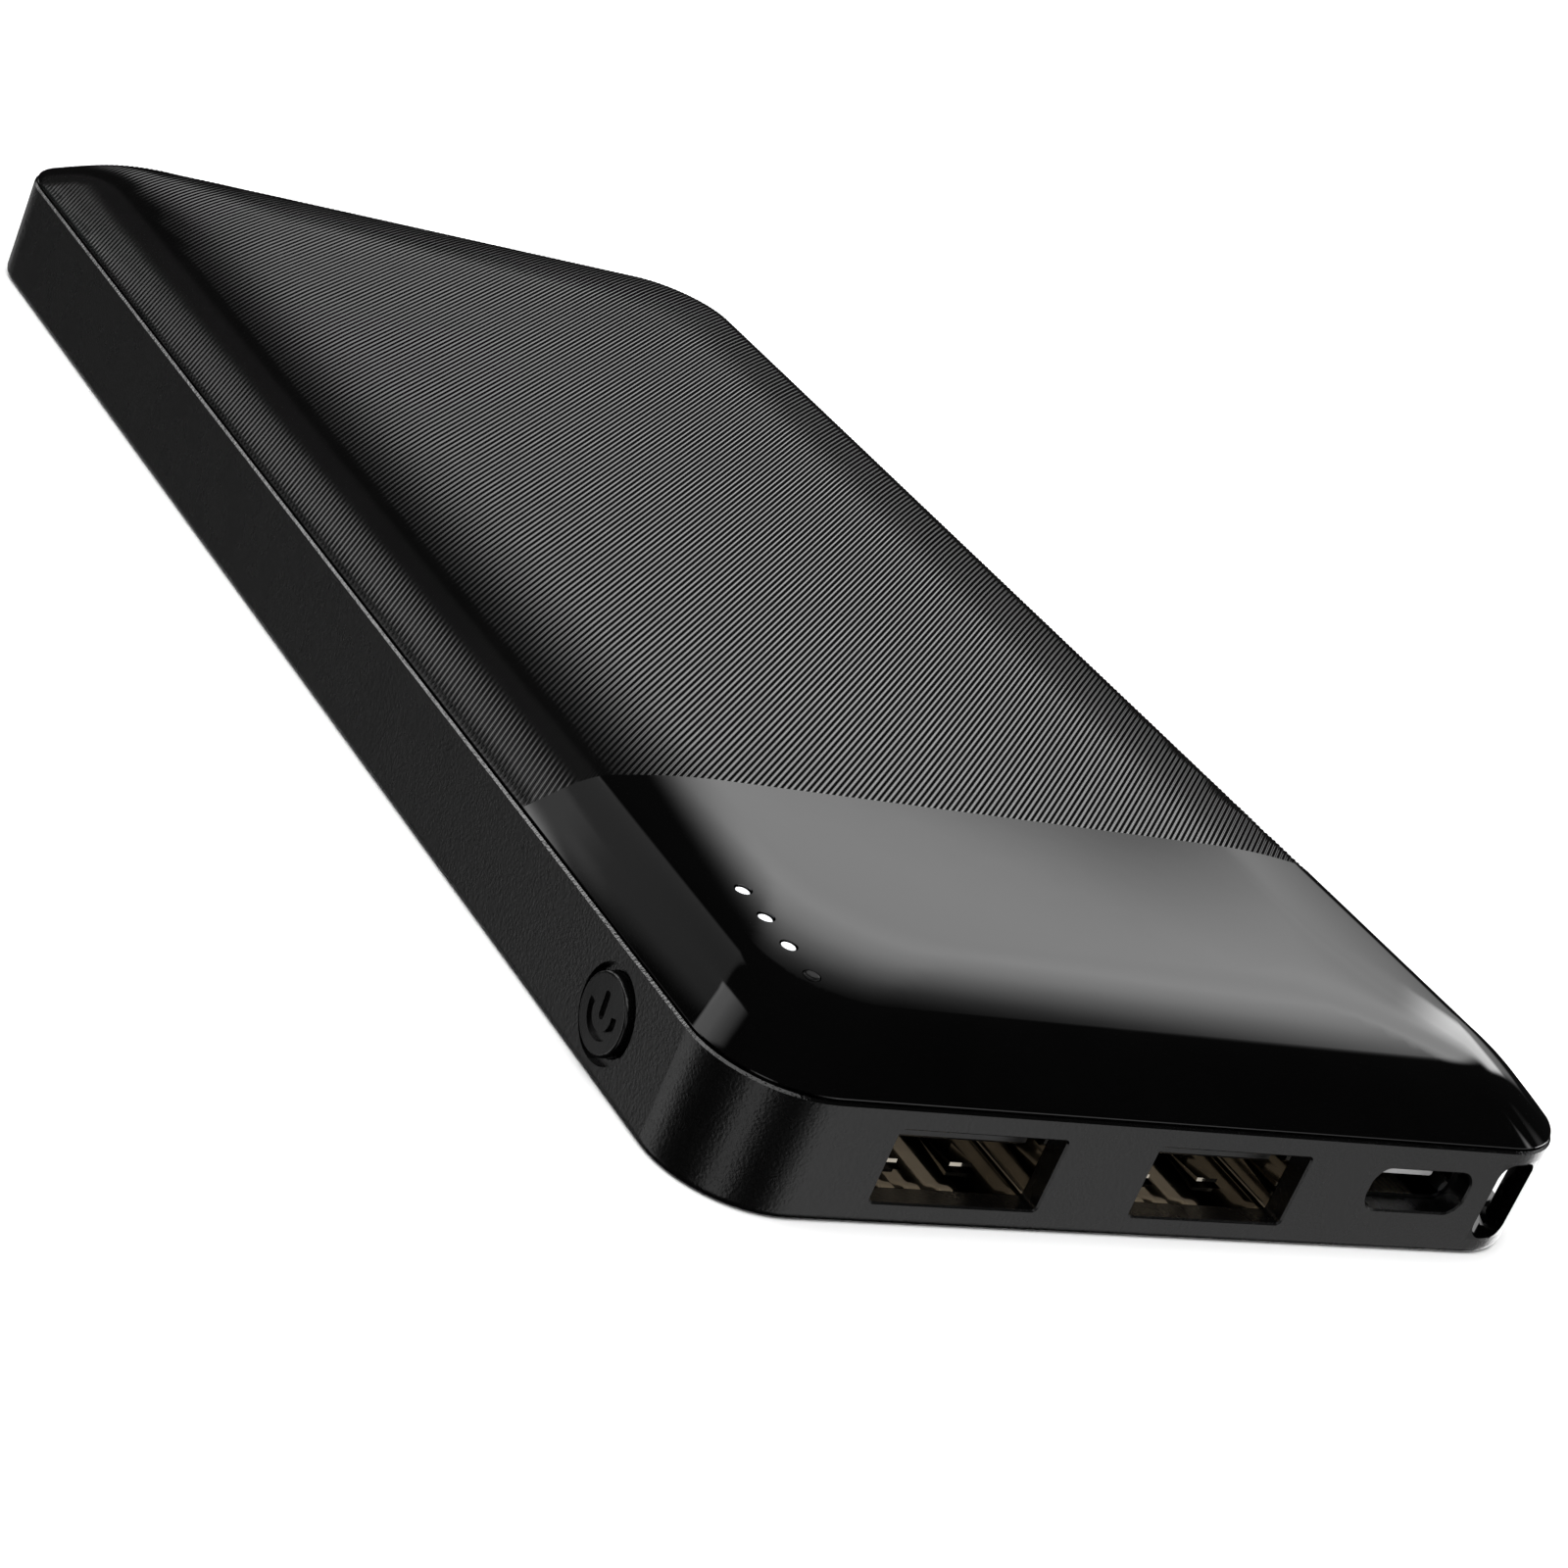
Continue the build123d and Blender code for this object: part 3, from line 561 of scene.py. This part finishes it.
def make_materials():
    """Every finish, under the name of the record's material slot it belongs to."""
    made = {}
    made["tray_plastic"] = polish_tray(
        moulded("tray_plastic", grey(0.0008), grey(0.0013), (0.26, 0.29), 0.20, 0.024))
    made["button_plastic"] = moulded(
        "button_plastic", grey(0.0008), grey(0.0013), (0.20, 0.27), 0.16, 0.005)
    made["ribbed"] = moulded("ribbed_plastic", grey(0.0008), grey(0.0014), (0.10, 0.14), 0.2, 0.0008)
    made["gloss"] = moulded("piano_gloss", grey(0.0004), grey(0.0007), (0.03, 0.05), 1.5, 0.0003)
    made["switch_plastic"] = moulded("switch_plastic", grey(0.02), grey(0.03), (0.4, 0.5))
    made["port_steel"] = moulded(
        "port_steel", (0.33, 0.31, 0.28), (0.42, 0.40, 0.36), (0.03, 0.07), 0.4, 0.0006, 4.0,
        Metallic=1.0)
    # painted shade: a darker copy of port_steel for the USB-C shell, standing in for the shade deep in
    # its socket
    made["port_steel_painted_shade"] = moulded(
        "port_steel_painted_shade", grey(0.05), grey(0.08), (0.06, 0.12), 0.4, 0.001, 4.0, Metallic=1.0)
    made["port_insulator"] = moulded("port_insulator", grey(0.006), grey(0.010), (0.30, 0.42))
    # painted highlight: a pale copy of port_insulator for the USB-C tongue, standing in for the light on
    # its top and front
    made["insulator_painted_highlight"] = moulded("insulator_painted_highlight", grey(0.55), grey(0.65), (0.30, 0.42))
    made["gold_contact"] = moulded(
        "gold_contact", (0.82, 0.68, 0.48), (0.90, 0.77, 0.56), (0.28, 0.38), 0.5, 0.003, 3.0,
        Metallic=0.2)
    made["shaded_gold"] = made["gold_contact"].copy()
    made["shaded_gold"].name = "shaded_gold"
    # painted light: a faint emission makes the gold contacts glow in the dark sockets, though they are no
    # lamp; shaded_gold is the copy made before it, without the glow
    painted_glow_shader = made["gold_contact"].node_tree.nodes["Principled BSDF"]
    painted_glow_shader.inputs["Emission Color"].default_value = (1.0, 0.86, 0.68, 1)
    painted_glow_shader.inputs["Emission Strength"].default_value = 0.14
    made["zinc_steel"] = moulded(
        "zinc_steel", (0.52, 0.52, 0.5), (0.62, 0.62, 0.6), (0.25, 0.38), 0.3, 0.004, 3.0, Metallic=1.0)
    made["board_laminate"] = moulded(
        "board_laminate", (0.008, 0.05, 0.02), (0.014, 0.08, 0.035), (0.28, 0.36))
    made["ferrite"] = moulded("ferrite", grey(0.04), grey(0.06), (0.6, 0.75), 0.2, 0.02)
    made["ceramic"] = moulded("ceramic", (0.36, 0.26, 0.17), (0.46, 0.34, 0.22), (0.35, 0.5), 0.15, 0.01)
    made["chip_epoxy"] = moulded("chip_epoxy", grey(0.015), grey(0.022), (0.45, 0.55), 0.1, 0.008)
    made["led_package"] = moulded("led_package", (0.82, 0.78, 0.55), (0.9, 0.87, 0.68), (0.2, 0.3))
    made["cell_foil"] = moulded(
        "cell_foil", (0.58, 0.59, 0.61), (0.7, 0.71, 0.73), (0.3, 0.42), 1.2, 0.02, 14.0, Metallic=1.0)
    made["nickel_strip"] = moulded(
        "nickel_strip", (0.6, 0.58, 0.53), (0.7, 0.68, 0.62), (0.25, 0.35), 0.2, 0.004, 2.0, Metallic=1.0)
    made["red_wire"] = moulded("red_wire", (0.4, 0.01, 0.01), (0.55, 0.02, 0.02), (0.35, 0.5))
    made["black_wire"] = moulded("black_wire", grey(0.01), grey(0.016), (0.35, 0.5))
    made["amber_tape"] = moulded("amber_tape", (0.5, 0.2, 0.02), (0.62, 0.28, 0.04), (0.15, 0.25))
    made["white_foam"] = moulded("white_foam", grey(0.7), grey(0.8), (0.8, 0.9), 0.3, 0.05)
    made["grey_foam"] = moulded("grey_foam", grey(0.16), grey(0.21), (0.8, 0.9), 0.3, 0.05)
    made["clear_guide"] = moulded(
        "clear_guide", grey(0.002), grey(0.004), (0.3, 0.4), 0.3, 0.002, Specular_IOR_Level=0.15)
    for number in (1, 2, 3):
        made[f"lit_guide_{number}"] = lit_guide(number, *light_places()[number - 1])
    return made


def lit_guide(number, x, y):
    """A light pin as it looks lit: painted light, white where its LED shines through, with painted shade,
    a dark rim, where it sits in the cover.
    """
    material, tree, bsdf = shader(f"lit_guide_{number}")
    cloud = spread(tree, noise(tree, 0.4, 2.0), 0, 1)
    # painted light: the lit pin's white stands in for the light of the LED under it
    white = blend_colours(tree, cloud, (0.86, 0.89, 0.92), grey(0.95))
    # painted shade: the pin turns dark beyond the rim radius, where it meets the cover's hole
    rim = ramp_up(tree, from_axis(tree, x, y)[0], PIN_WHITE_R, PIN_SHADE_R)
    inputs = {"Factor": rim, 6: white, 7: (*grey(0.002), 1)}
    colour = add_node(tree, "ShaderNodeMix", inputs, data_type="RGBA").outputs[2]
    tree.links.new(colour, bsdf.inputs["Base Color"])
    tree.links.new(spread(tree, cloud, 0.2, 0.3), bsdf.inputs["Roughness"])
    return material


# ---------------------------------------------------------------- dressing the parts

# Nodes whose finish differs from their material slot in the record
OWN_FINISH = {
    "light_pin_1": "lit_guide_1",
    "light_pin_2": "lit_guide_2",
    "light_pin_3": "lit_guide_3",
    # painted shade: the USB-C shell takes the darkened steel
    "usb_c_shell": "port_steel_painted_shade",
    # painted highlight: the USB-C tongue is made pale
    "usb_c_insulator": "insulator_painted_highlight",
    # the USB-C contacts take the gold copy without the painted glow
    "usb_c_contacts": "shaded_gold",
}


def dress(materials):
    """Gives each CAD node the finish of its slot in the record."""
    for part in frame["record"]["subparts"]:
        finish = OWN_FINISH.get(part["node"], part["material_slot"])
        if finish == "cover_plastic":
            continue
        mesh = frame["nodes"][part["node"]].data
        mesh.materials.clear()
        mesh.materials.append(materials[finish])


def light_places():
    """Plan centre of each charge light, in millimetres."""
    places = []
    for number in range(1, 5):
        low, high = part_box(f"light_pin_{number}")
        middle = (low + high) / 2 / MM
        places.append((middle.x, middle.y))
    return places


# ---------------------------------------------------------------- studio

CAMERA_PLACE = (-0.1530, -0.2120, 0.09953)
CAMERA_HEADING = 38.010  # degrees from +Y towards +X
CAMERA_PITCH = -21.412
CAMERA_ROLL = 23.47
CAMERA_LENS = 85.146
SENSOR = 36.0
FLOOR_RADIUS = 6.0
FLOOR_SIDES = 96
LAMP_HEIGHT = 1.6
LAMP_SIZE = (2.5, 2.5)
LAMP_POWER = 60  # watts


def make_camera():
    camera = bpy.data.objects.new("camera", bpy.data.cameras.new("camera"))
    bpy.context.scene.collection.objects.link(camera)
    camera.data.sensor_width = SENSOR
    camera.data.lens = CAMERA_LENS
    camera.data.clip_start = 0.01
    camera.data.clip_end = 100
    heading, pitch = math.radians(CAMERA_HEADING), math.radians(CAMERA_PITCH)
    level_x, level_y = math.sin(heading) * math.cos(pitch), math.cos(heading) * math.cos(pitch)
    forward = Vector((level_x, level_y, math.sin(pitch)))
    level = forward.to_track_quat("-Z", "Y")
    camera.location = CAMERA_PLACE
    camera.rotation_mode = "QUATERNION"
    camera.rotation_quaternion = level @ Quaternion((0, 0, 1), math.radians(CAMERA_ROLL))
    bpy.context.scene.camera = camera


def make_floor():
    """A wide pale floor under the tray. It is hidden from glossy reflections."""
    place = (0, 0, tray_low.z)
    bpy.ops.mesh.primitive_circle_add(
        vertices=FLOOR_SIDES, radius=FLOOR_RADIUS, fill_type="TRIFAN", location=place)
    floor = bpy.context.object
    floor.name = "floor"
    material, tree, bsdf = shader("floor_paper")
    bsdf.inputs["Base Color"].default_value = (0.9, 0.9, 0.9, 1)
    bsdf.inputs["Roughness"].default_value = 0.9
    bsdf.inputs["Specular IOR Level"].default_value = 0.1
    floor.data.materials.append(material)
    floor.visible_glossy = False


def soft_light(name, place, aim, size, power):
    """A soft rectangular lamp. It is hidden from the camera and from glossy reflections."""
    lamp = bpy.data.lights.new(name, "AREA")
    lamp.shape = "RECTANGLE"
    lamp.size, lamp.size_y = size
    lamp.energy = power
    holder = bpy.data.objects.new(name, lamp)
    bpy.context.scene.collection.objects.link(holder)
    holder.location = place
    holder.rotation_mode = "QUATERNION"
    holder.rotation_quaternion = (Vector(aim) - Vector(place)).to_track_quat("-Z", "Y")
    holder.visible_glossy = False
    holder.visible_camera = False


# Light cards round the object, as its polished plastics see them. Each one has the azimuth of its
# middle (degrees from +Y towards +X), the half widths where it is full and where it has faded out,
# and its brightness at each elevation.
CARDS = {
    # above the horizon
    "main": (46, 9, 15, ((17, 0), (18.5, 0.12), (19.5, 0.35), (20.5, 0.9), (21.3, 1.4), (24, 1.5),
                         (26, 1.75), (28.5, 1.4), (30, 0.95), (32.8, 0.24), (34.2, 0.08), (35.5, 0))),
    "rib_side": (57.5, 4.5, 7, ((12, 0), (14.5, 2.2), (19, 1.9), (21, 0.5), (22, 0))),
    "right_low": (54, 7, 11, ((3, 0), (6, 0.4), (12, 0.7), (17, 1.0), (19, 0.9), (21, 0.2), (22, 0))),
    "bevel_ribs": (-14, 6, 12, ((1, 0), (5, 1.7), (16, 1.7), (22, 0))),
    "corner_wedge": (-20.5, 6, 8, ((43, 0), (45, 1.5), (54, 1.4), (63, 0.6), (67, 0))),
    "corner_edge": (-52, 12, 18, ((34, 0), (38, 3.5), (50, 3.5), (54, 0))),
    "corner_edge_high": (-125, 55, 68, ((45, 0), (50, 2.2), (66, 2.2), (70, 0))),
    "corner_glint": (97, 4, 8, ((23, 0), (26, 2.4), (32, 2.4), (35, 0))),
    "port_front": (150, 12, 20, ((-2, 0), (2, 2.5), (20, 2.5), (26, 0))),
    "left_strip": (-2, 14.5, 18, ((33, 0), (37.5, 0.6), (38.8, 0.6), (39.4, 0.3), (42, 0.28),
                                  (46, 0.2), (48, 0))),
    "left_edge": (-24, 5, 8, ((24, 0), (26, 6.0), (36, 6.0), (38, 0))),
    "front_left": (250, 20, 30, ((0, 0), (4, 0.8), (26, 0.8), (32, 0))),
    # soft fill that the cover shows from the other sides
    "right_fill": (100, 14, 24, ((2, 0), (8, 0.8), (20, 0.8), (26, 0))),
    "front_fill": (192, 12, 22, ((2, 0), (8, 0.8), (24, 0.8), (30, 0))),
    "left_fill": (-48, 12, 20, ((2, 0), (8, 0.7), (24, 0.7), (30, 0))),
    # below it: what the tray's walls and the cover's rim see
    "rear_streak": (2, 3, 10, ((-50, 0), (-40, 0.5), (-9, 0.5), (-4, 0))),
    "left_faint": (-34, 4, 26, ((-50, 0), (-40, 0.07), (-12, 0.07), (-6, 0))),
    "left_streak": (-51, 1, 15, ((-50, 0), (-40, 1.3), (-12, 1.3), (-6, 0))),
    "corner_streak": (-136, 4, 17, ((-50, 0), (-40, 1.1), (-12, 1.1), (-6, 0))),
    "front_streak": (150, 2, 22, ((-50, 0), (-40, 0.75), (-12, 0.75), (-6, 0))),
    "front_wide": (125, 20, 30, ((-50, 0), (-40, 0.45), (-12, 0.45), (-6, 0))),
    "rim_glint": (72, 18, 26, ((-36, 0), (-30, 3.0), (-16, 3.0), (-12, 0))),
}
ROOM_LEVELS = ((-90, 0.01), (-2, 0.01), (2, 0.01), (90, 0.02))


def degrees_of(tree, operation, *values):
    """A math node that gives an angle, in degrees."""
    angle = add_node(tree, "ShaderNodeMath", dict(enumerate(values)), operation=operation).outputs[0]
    return add_node(tree, "ShaderNodeMath", {0: angle}, operation="DEGREES").outputs[0]


def level_by_elevation(tree, elevation, stops):
    """Brightness by elevation: straight lines between the stops."""
    inputs = {"Value": elevation, "From Min": -90.0, "From Max": 90.0, "To Min": 0.0, "To Max": 1.0}
    share = add_node(tree, "ShaderNodeMapRange", inputs).outputs["Result"]
    ramp = add_node(tree, "ShaderNodeValToRGB", {"Fac": share})
    top = max(level for _, level in stops)
    elements = ramp.color_ramp.elements
    for index, (degrees, level) in enumerate(stops):
        place = (degrees + 90) / 180
        element = elements[index] if index < 2 else elements.new(place)
        element.position = place
        element.color = (level / top, level / top, level / top, 1)
    scaled = {0: ramp.outputs["Color"], 1: top}
    return add_node(tree, "ShaderNodeMath", scaled, operation="MULTIPLY").outputs[0]


def card_level(tree, azimuth, elevation, middle, full, gone, stops):
    """Brightness of one card in each direction."""
    from_middle = {0: azimuth, 1: float(middle)}
    turned = add_node(tree, "ShaderNodeMath", from_middle, operation="SUBTRACT").outputs[0]
    near = {0: turned, 1: 180.0, 2: -180.0}
    wrapped = add_node(tree, "ShaderNodeMath", near, operation="WRAP").outputs[0]
    aside = add_node(tree, "ShaderNodeMath", {0: wrapped}, operation="ABSOLUTE").outputs[0]
    inputs = {"Value": aside, "From Min": float(full), "From Max": float(gone)}
    inputs.update({"To Min": 1.0, "To Max": 0.0})
    fade = add_node(tree, "ShaderNodeMapRange", inputs, interpolation_type="SMOOTHSTEP")
    window = fade.outputs["Result"]
    level = level_by_elevation(tree, elevation, stops)
    return add_node(tree, "ShaderNodeMath", {0: window, 1: level}, operation="MULTIPLY").outputs[0]


def make_world():
    """A dark room with light cards in it."""
    world = bpy.data.worlds.new("studio")
    bpy.context.scene.world = world
    world.use_nodes = True
    tree = world.node_tree
    direction = add_node(tree, "ShaderNodeTexCoord").outputs["Generated"]
    axes = add_node(tree, "ShaderNodeSeparateXYZ", {"Vector": direction}).outputs
    azimuth = degrees_of(tree, "ARCTAN2", axes["X"], axes["Y"])
    elevation = degrees_of(tree, "ARCSINE", axes["Z"])
    total = level_by_elevation(tree, elevation, ROOM_LEVELS)
    for card in CARDS.values():
        level = card_level(tree, azimuth, elevation, *card)
        total = add_node(tree, "ShaderNodeMath", {0: total, 1: level}, operation="ADD").outputs[0]
    background = tree.nodes["Background"]
    tree.links.new(total, background.inputs["Color"])
    background.inputs["Strength"].default_value = 1.0


# ---------------------------------------------------------------- scene

materials = make_materials()
dress(materials)
cover = make_cover(light_places())
cover.data.materials.append(materials["ribbed"])
cover.data.materials.append(materials["gloss"])
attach(cover, "case")
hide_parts("top_cover")

make_floor()
make_world()
soft_light("overhead", (0, 0, LAMP_HEIGHT), (0, 0, 0), LAMP_SIZE, LAMP_POWER)
make_camera()
bpy.context.scene.view_settings.view_transform = "Standard"
